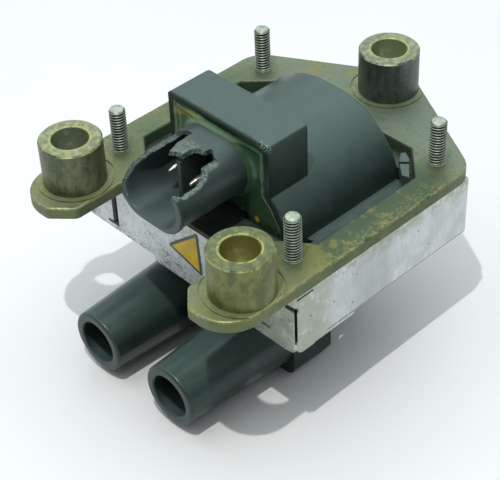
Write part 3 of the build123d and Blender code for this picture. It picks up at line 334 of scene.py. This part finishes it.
def plastic_material(name, base, light, rough, dust_and_top_light, broken=False):
    g = Graph(name)
    cloud = g.noise(8.0, 4.0, 0.55)
    color = g.mix(g.step(cloud, 0.35, 0.7), base, light)
    # a thin paler film on the faces that look up, weaker low down: partly dust, partly painted light on the
    # upper faces
    film = g.mul(g.step(g.nz, 0.25, 1.0), g.step(g.noise(5.0, 4.0, 0.6), 0.1, 0.75, 0.75, 1.0))
    film = g.mul(film, g.step(g.z, -24.0, -12.0, 0.75, 1.0))
    color = g.mix(g.mul(film, dust_and_top_light), color, (0.095, 0.150, 0.140))
    grime = g.step(g.noise(1.0, 5.0, 0.7), 0.58, 0.80)
    color = g.mix(g.mul(grime, 0.2), color, (0.10, 0.14, 0.12))
    specks = g.math("MAXIMUM", g.specks(2.1, 0.12, 0.30), g.specks(0.9, 0.13, 0.10))
    color = g.mix(g.mul(specks, 0.5), color, (0.34, 0.42, 0.36))
    height = g.add(g.noise(0.35, 3.0, 0.6), g.mul(g.noise(2.5, 3.0, 0.5), 0.8))
    strength = 0.12
    if broken:
        # the broken wall shows between its inner and outer skins, rough and paler than the moulded faces
        side = g.math("MAXIMUM", g.sub(g.math("ABSOLUTE", g.x), SHROUD_CX), 0.0)
        rise = g.sub(g.z, SHROUD_Z)
        reach = g.math("SQRT", g.add(g.mul(side, side), g.mul(rise, rise)))
        inner = SHROUD_R - SHROUD_WALL
        skin = g.step(reach, SHROUD_R - 0.16, SHROUD_R - 0.34)
        core = g.mul(g.step(reach, inner + 0.05, inner + 0.2), skin)
        break_zone = g.mul(core, g.mul(g.step(g.y, -38.9, -38.4), g.step(g.z, 5.6, 6.4)))
        flap = g.mul(g.step(g.x, -4.4, -3.4), g.step(g.x, 2.2, 1.2))
        flap = g.mul(flap, g.mul(g.step(g.y, -24.4, -25.4), g.step(g.z, 14.5, 15.3)))
        broke = g.math("MAXIMUM", break_zone, g.mul(flap, g.step(g.noise(1.2, 3.0, 0.6), 0.35, 0.5)))
        grain = g.noise(0.5, 5.0, 0.75)
        chalk = g.mix(g.step(grain, 0.38, 0.62), (0.045, 0.070, 0.055), (0.17, 0.22, 0.18))
        pale = g.step(g.x, -3.5, 0.0, 0.3, 0.9)
        color = g.mix(g.mul(broke, pale), color, chalk)
        height = g.add(height, g.mul(g.mul(broke, grain), 5.0))
        strength = 0.3
    else:
        color = case_rim(g, color)
    normal = g.bump(height, strength, 0.05)
    gloss = g.step(cloud, 0.3, 0.7, rough[0], rough[1])
    return g.finish(color, gloss, 0.0, normal, Specular_Tint=(0.82, 1.0, 0.95))


def case_rim(g, color):
    """Dark mottled front rim of the open block and the crumbs of flash at its right corner."""
    ragged = g.add(g.y, g.mul(g.noise(0.9, 4.0, 0.7), 1.4))
    rim = g.mul(g.step(ragged, -16.65, -17.0), g.step(g.z, 2.0, 4.0))
    color = g.mix(g.mul(rim, 0.9), color, (0.010, 0.020, 0.012))
    corner = g.mul(g.step(g.x, 12.3, 13.4), g.mul(g.step(g.y, -17.0, -17.5), g.step(g.z, 18.2, 19.0)))
    crumbs = g.mul(corner, g.step(g.cells(0.42), 0.42, 0.25))
    return g.mix(g.mul(crumbs, 0.8), color, (0.42, 0.50, 0.44))


def resin_material():
    g = Graph("resin")
    cloud = g.noise(5.0, 3.0, 0.5)
    color = g.mix(g.step(cloud, 0.35, 0.65), (0.030, 0.066, 0.034), (0.054, 0.104, 0.052))
    # thin resin over the case's bright upper left corner looks pale green, amber along its top
    left = g.step(g.x, 6.0, -6.0)
    color = g.mix(g.mul(left, 0.85), color, (0.082, 0.145, 0.066))
    wobble = g.mul(g.sub(g.noise(2.5, 3.0, 0.6), 0.5), 1.8)
    above = g.add(g.sub(g.z, g.add(g.mul(g.x, 0.36), 20.6)), wobble)
    color = g.mix(g.mul(g.step(above, 0.2, 0.9), left), color, (0.095, 0.135, 0.085))
    amber = g.mul(g.step(g.x, 3.5, 1.0), g.step(g.noise(1.6, 3.0, 0.6), 0.30, 0.45))
    amber = g.mul(g.step(g.math("ABSOLUTE", above), 1.25, 0.4), amber)
    color = g.mix(g.mul(amber, 0.85), color, (0.19, 0.27, 0.075))
    rust = g.mul(g.mul(amber, g.step(g.x, -9.0, -10.5)), g.step(g.noise(1.2, 3.0, 0.6), 0.40, 0.55))
    color = g.mix(g.mul(rust, 0.75), color, (0.30, 0.22, 0.05))
    # one amber drop low on the right
    across, rise = g.sub(g.x, 11.3), g.sub(g.z, -2.4)
    drop = g.math("SQRT", g.add(g.math("POWER", across, 2.0), g.math("POWER", rise, 2.0)))
    drop = g.step(drop, 1.0, 0.4)
    color = g.mix(drop, color, (0.75, 0.42, 0.03))
    normal = g.bump(g.noise(3.0, 2.0, 0.5), 0.10, 0.2)
    return g.finish(color, g.step(cloud, 0.3, 0.7, 0.16, 0.26), 0.0, normal, Specular_Tint=(0.82, 1.0, 0.9))


def core_material():
    g = Graph("core_iron")
    sheets = g.math("SINE", g.mul(g.z, 2.0 * math.pi / 0.5))
    color = g.mix(g.step(g.noise(2.0, 4.0, 0.6), 0.35, 0.7), (0.034, 0.052, 0.042), (0.054, 0.078, 0.062))
    color = g.mix(g.mul(g.step(sheets, 0.6, 1.0), 0.3), color, (0.05, 0.055, 0.045))
    normal = g.bump(g.add(g.mul(sheets, 0.3), g.noise(0.8, 3.0, 0.6)), 0.4, 0.12)
    return g.finish(color, 0.5, 0.4, normal)


def mark_material():
    """Yellow triangle with a dark border; the border follows the distance to the three sides."""
    g = Graph("mark_film")
    inside = None
    for (x0, z0), (x1, z1) in zip(MARK_CORNERS, MARK_CORNERS[1:] + MARK_CORNERS[:1]):
        length = math.hypot(x1 - x0, z1 - z0)
        a, b = (z1 - z0) / length, -(x1 - x0) / length
        c = -(a * x0 + b * z0)
        side = g.add(g.add(g.mul(g.x, a), g.mul(g.z, b)), c)
        inside = side if inside is None else g.math("MINIMUM", inside, side)
    edge = g.step(g.add(inside, g.mul(g.sub(g.noise(0.8, 2.0, 0.5), 0.5), 0.12)), 0.85, 0.65)
    cloud = g.noise(3.0, 3.0, 0.6)
    yellow = g.mix(g.step(cloud, 0.35, 0.65), (0.56, 0.35, 0.004), (0.70, 0.48, 0.006))
    scuff = g.step(g.noise(0.7, 4.0, 0.7), 0.62, 0.75)
    yellow = g.mix(g.mul(scuff, 0.5), yellow, (0.40, 0.28, 0.05))
    color = g.mix(edge, yellow, (0.055, 0.06, 0.05))
    normal = g.bump(g.noise(1.2, 3.0, 0.5), 0.12, 0.05)
    return g.finish(color, g.step(cloud, 0.3, 0.7, 0.3, 0.42), 0.0, normal)


def simple_material(name, dark, light, rough, metallic, size=2.0, bump=0.2):
    g = Graph(name)
    cloud = g.noise(size, 4.0, 0.6)
    color = g.mix(g.step(cloud, 0.35, 0.65), dark, light)
    normal = g.bump(g.noise(size * 0.3, 4.0, 0.6), bump, 0.06)
    return g.finish(color, g.step(cloud, 0.3, 0.7, rough * 0.85, rough * 1.15), metallic, normal)


PLASTIC = plastic_material("case_plastic", (0.014, 0.026, 0.023), (0.023, 0.040, 0.036), (0.30, 0.40), 0.42)
# side dull and bright, bore upper part in painted shade and lower part in painted light, end face
OLIVE = (
    (0.096, 0.118, 0.044), (0.200, 0.212, 0.078), (0.32, 0.31, 0.09),
    (0.62, 0.56, 0.19), (0.165, 0.205, 0.095),
)
DULL = (
    (0.070, 0.095, 0.055), (0.17, 0.19, 0.10), (0.30, 0.36, 0.26),
    (0.60, 0.62, 0.46), (0.36, 0.41, 0.23),
)
GREY = (
    (0.060, 0.080, 0.072), (0.11, 0.14, 0.12), (0.38, 0.45, 0.27),
    (0.62, 0.66, 0.40), (0.34, 0.40, 0.25),
)
STUD_STEEL = stud_material()
looks = {
    "mounting_plate": plate_material(),
    "mounting_bush_left": bush_material("bush_steel_left", *BUSHES[0], DULL),
    "mounting_bush_right": bush_material("bush_steel_right", *BUSHES[1], OLIVE),
    "mounting_bush_rear": bush_material("bush_steel_rear", *BUSHES[2], GREY),
    "clamp_studs": STUD_STEEL,
    "stud_washers": STUD_STEEL,
    "core_tray": tray_material(),
    "core_e_stack": core_material(),
    "core_gap_shim": simple_material("pressboard", (0.30, 0.24, 0.14), (0.45, 0.36, 0.22), 0.8, 0.0),
    "coil_case": PLASTIC,
    # the connector's plastic is coloured lighter than the case's: painted light that lifts its shaded inside
    "connector_body": plastic_material(
        "connector_plastic", (0.030, 0.046, 0.046), (0.043, 0.063, 0.061), (0.34, 0.44), 0.10, broken=True),
    "connector_pin_left": simple_material("pin_metal", (0.45, 0.44, 0.38), (0.75, 0.73, 0.66), 0.3, 0.9, 0.8),
    "potting_resin": resin_material(),
    "corner_clip": plastic_material(
        "clip_plastic", (0.030, 0.048, 0.038), (0.075, 0.105, 0.085), (0.36, 0.46), 0.25),
    "marking_triangle": mark_material(),
    "primary_bobbin": simple_material("bobbin_plastic", (0.42, 0.40, 0.32), (0.55, 0.52, 0.42), 0.5, 0.0),
    "primary_winding": simple_material("copper", (0.45, 0.18, 0.08), (0.72, 0.36, 0.20), 0.35, 0.9, 0.7),
    "winding_insulation": simple_material("film", (0.55, 0.47, 0.28), (0.70, 0.62, 0.40), 0.45, 0.0),
    "ht_terminal_left": simple_material("brass", (0.50, 0.38, 0.16), (0.75, 0.60, 0.30), 0.3, 0.9, 1.0),
}
same_as = {
    "core_i_stack": "core_e_stack", "connector_pin_right": "connector_pin_left",
    "secondary_bobbin": "primary_bobbin", "secondary_winding": "primary_winding",
    "primary_lead_left": "primary_winding", "primary_lead_right": "primary_winding",
    "ht_lead_left": "primary_winding", "ht_lead_right": "primary_winding",
    "ht_terminal_right": "ht_terminal_left",
}
for name, node in NODES.items():
    node.data.materials.clear()
    node.data.materials.append(looks[same_as.get(name, name)])


# ------------------------------------------------------------------ mesh helpers
def unit(value):
    """The value held between 0 and 1."""
    return max(0.0, min(1.0, value))


def make_piece(name, verts, faces, material):
    """A mesh in the row frame from millimetre coordinates, riding on the one body."""
    mesh = bpy.data.meshes.new(name)
    mesh.from_pydata([Vector(v) * MM for v in verts], [], faces)
    mesh.validate()
    obj = bpy.data.objects.new(name, mesh)
    bpy.context.scene.collection.objects.link(obj)
    mesh.materials.append(material)
    for polygon in mesh.polygons:
        polygon.use_smooth = True
    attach(obj, "root")
    return obj


def revolve_rings(verts, faces, cx, cy, rings, count):
    """Adds a closed surface of revolution about a vertical axis from (radius or radius function, z) rings."""
    start = len(verts)
    for radius, z in rings:
        for i in range(count):
            a = 2 * math.pi * i / count
            r = radius(a, z) if callable(radius) else radius
            verts.append((cx + r * math.cos(a), cy + r * math.sin(a), z))
    for k in range(len(rings) - 1):
        for i in range(count):
            j = (i + 1) % count
            low, high = start + k * count, start + (k + 1) * count
            faces.append((low + i, low + j, high + j, high + i))
    faces.append(tuple(start + count - 1 - i for i in range(count)))
    faces.append(tuple(start + (len(rings) - 1) * count + i for i in range(count)))


# ------------------------------------------------------------------ studs with their thread
def thread_radius(a, z):
    phase = (z / THREAD_PITCH - a / (2 * math.pi)) % 1.0
    rise = abs(phase - 0.5) * 2.0
    depth = unit((1.0 - rise) * 1.35 - 0.12)
    fade = unit((z - 0.35) / 0.3) * unit((STUD_TOP - 0.15 - z) / 0.5)
    return STUD_R - THREAD_DEPTH * depth * fade


# head below the tray, plain shank, and the small burr where the stud leaves the plate, bottom to top
STUD_FOOT = [(2.8, -22.1), (3.3, -21.6), (3.3, -19.9), (2.0, -19.9), (2.0, 0.0),
             (2.12, 0.02), (2.12, 0.12), (2.04, 0.22), (2.0, 0.3)]
verts, faces = [], []
for sx in (-1, 1):
    for sy in (-1, 1):
        rings = list(STUD_FOOT)
        z = 0.36
        while z < STUD_TOP - 0.45:
            rings.append((thread_radius, z))
            z += THREAD_PITCH / 12
        rings += [(1.75, STUD_TOP - 0.4), (1.62, STUD_TOP - 0.05), (1.5, STUD_TOP)]
        revolve_rings(verts, faces, sx * STUD_X, sy * STUD_Y, rings, 48)
studs = make_piece("threaded_studs", verts, faces, STUD_STEEL)
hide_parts("clamp_studs")

# ------------------------------------------------------------------ connector body with its broken wall
def slot_reach(x, z):
    """Distance from the shroud's middle line, the middle of its oval."""
    return math.hypot(max(abs(x) - SHROUD_CX, 0.0), z - SHROUD_Z)


def rough_break(co):
    """Moves a point of the broken wall, or of the torn flap on top, off the clean cut."""
    x, y, z = co
    reach = slot_reach(x, z)
    inner, outer = SHROUD_R - SHROUD_WALL, SHROUD_R
    core = unit((reach - inner) / 0.25) * unit((outer - 0.12 - reach) / 0.25)
    zone = core * unit((-22.4 - y) / 0.8) * unit((y + 39.0) / 0.8) * unit((z - 5.8) / 1.0)
    if zone <= 0.0:
        return co
    p = Vector((x, y, z))
    push = noise.noise_vector(p * 0.9) * 0.55 + noise.noise_vector(p * 2.6) * 0.22
    return x + push.x * zone, y + push.y * zone, z + push.z * zone


def roughened_copy(node_name, name, voxel, move, material):
    """A finely remeshed copy of a CAD node's mesh with its points moved, in place of the node."""
    source = NODES[node_name]
    work = bpy.data.objects.new(name + "_work", source.data.copy())
    work.matrix_world = source.matrix_world
    bpy.context.scene.collection.objects.link(work)
    remesh = work.modifiers.new("remesh", "REMESH")
    remesh.mode = "VOXEL"
    remesh.voxel_size = voxel * MM
    relax = work.modifiers.new("relax", "SMOOTH")
    relax.factor = 0.5
    relax.iterations = 2
    mesh = bpy.data.meshes.new_from_object(work.evaluated_get(bpy.context.evaluated_depsgraph_get()))
    world = work.matrix_world
    points = [move(tuple(v / MM for v in (world @ vertex.co))) for vertex in mesh.vertices]
    polygons = [tuple(polygon.vertices) for polygon in mesh.polygons]
    bpy.data.objects.remove(work)
    piece = make_piece(name, points, polygons, material)
    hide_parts(node_name)


roughened_copy("connector_body", "broken_connector", 0.2, rough_break,
               looks["connector_body"])


# ------------------------------------------------------------------ resin surface with its meniscus
RESIN_Y = -17.72
RIM_X, RIM_Z = 14.75, 18.55


def resin_edge(z):
    """Half width of the case's opening at a height."""
    lower = 2.2 + math.sqrt(max(19.0 ** 2 - max(z - COIL_Z - 1.89, 0.0) ** 2, 0.0))
    return RIM_X if z > 6.0 else max(RIM_X, min(lower, 19.8))


def resin_depth(x, z, half):
    rim = min(half - abs(x), RIM_Z - z)
    collar = max(0.0, slot_reach(x, z) - SHROUD_R)
    y = RESIN_Y - 0.34 * math.exp(-((rim - 1.5) / 0.42) ** 2) - 0.42 * math.exp(-rim / 0.35)
    y -= 1.5 * math.exp(-collar / 0.75)
    y -= 0.5 * math.exp(-((x - 6.7) ** 2 + (z + 2.0) ** 2) / 0.3)
    return y + 0.16 * noise.noise(Vector((x * 0.28, z * 0.28, 3.0)))


verts, faces = [], []
columns, rows = 120, 88
for k in range(rows + 1):
    z = -2.6 + (RIM_Z + 2.6) * k / rows
    half = resin_edge(z)
    for i in range(columns + 1):
        x = half * (2.0 * i / columns - 1.0)
        verts.append((x, max(resin_depth(x, z, half), -20.0), z))
for k in range(rows):
    for i in range(columns):
        a = k * (columns + 1) + i
        faces.append((a, a + 1, a + columns + 2, a + columns + 1))
make_piece("resin_meniscus", verts, faces, looks["potting_resin"])

# ------------------------------------------------------------------ stage, light and camera
def stage_material():
    g = Graph("stage")
    color = g.mix(g.noise(60.0, 3.0, 0.5), (0.735, 0.745, 0.755), (0.765, 0.775, 0.785))
    return g.finish(color, 0.7, 0.0, g.bump(g.noise(1.5, 2.0, 0.5), 0.03, 0.05))


floor_mesh = bpy.data.meshes.new("floor")
half = 1.5
floor_plan = ((-half, -half), (half, -half), (half, half), (-half, half))
floor_corners = [(x, y, FLOOR_Z * MM) for x, y in floor_plan]
floor_mesh.from_pydata(floor_corners, [], [(0, 1, 2, 3)])
floor = bpy.data.objects.new("floor", floor_mesh)
floor_mesh.materials.append(stage_material())
bpy.context.scene.collection.objects.link(floor)

world = bpy.data.worlds.new("world")
bpy.context.scene.world = world
world.use_nodes = True
background = world.node_tree.nodes["Background"]
background.inputs["Color"].default_value = (0.94, 0.99, 1.0, 1.0)
sky = world.node_tree.nodes.new("ShaderNodeTexCoord")
height = world.node_tree.nodes.new("ShaderNodeSeparateXYZ")
ramp = world.node_tree.nodes.new("ShaderNodeMapRange")
ramp.interpolation_type = "SMOOTHSTEP"
for socket, value in zip(ramp.inputs[1:], (0.25, 0.90, SKY_LOW, SKY_HIGH)):
    socket.default_value = value
world.node_tree.links.new(sky.outputs["Generated"], height.inputs[0])
world.node_tree.links.new(height.outputs[2], ramp.inputs[0])
# the side of the room behind the coil is brighter than the side the viewer stands on
away = world.node_tree.nodes.new("ShaderNodeVectorMath")
away.operation = "DOT_PRODUCT"
away.inputs[1].default_value = (-0.74, 0.67, 0.0)
world.node_tree.links.new(sky.outputs["Generated"], away.inputs[0])
side = world.node_tree.nodes.new("ShaderNodeMapRange")
for socket, value in zip(side.inputs[1:], (-0.8, 0.8, SIDE_LOW, SIDE_HIGH)):
    socket.default_value = value
world.node_tree.links.new(away.outputs["Value"], side.inputs[0])
strength = world.node_tree.nodes.new("ShaderNodeMath")
strength.operation = "MULTIPLY"
world.node_tree.links.new(ramp.outputs[0], strength.inputs[0])
world.node_tree.links.new(side.outputs[0], strength.inputs[1])
world.node_tree.links.new(strength.outputs[0], background.inputs["Strength"])


def area_light(name, location, target, size, power, color):
    data = bpy.data.lights.new(name, "AREA")
    data.shape = "DISK"
    data.size = size
    data.energy = power
    data.color = color
    light = bpy.data.objects.new(name, data)
    light.location = location
    direction = Vector(target) - Vector(location)
    light.rotation_mode = "QUATERNION"
    light.rotation_quaternion = direction.to_track_quat("-Z", "Y")
    bpy.context.scene.collection.objects.link(light)


area_light("ceiling_light", LAMP_PLACE, (0.0, 0.0, 0.0), LAMP_SIZE, LAMP_POWER, (1.0, 1.0, 0.97))

AZIMUTH, ELEVATION, ROLL = (math.radians(v) for v in CAMERA_ANGLES)
level = math.cos(ELEVATION)
back = Vector((math.sin(AZIMUTH) * level, -math.cos(AZIMUTH) * level, math.sin(ELEVATION)))
right = Vector((math.cos(AZIMUTH), math.sin(AZIMUTH), 0.0))
up = back.cross(right)
right_r = right * math.cos(ROLL) + up * math.sin(ROLL)
up_r = up * math.cos(ROLL) - right * math.sin(ROLL)
camera_data = bpy.data.cameras.new("camera")
camera_data.lens = LENS
camera_data.sensor_width = 36.0
camera_data.clip_start = 0.01
camera_data.clip_end = 20.0
camera = bpy.data.objects.new("camera", camera_data)
basis = Matrix((right_r, up_r, back)).transposed().to_4x4()
camera.matrix_world = Matrix.Translation(CAMERA_PLACE) @ basis
bpy.context.scene.collection.objects.link(camera)
bpy.context.scene.camera = camera
bpy.context.scene.view_settings.view_transform = "Standard"
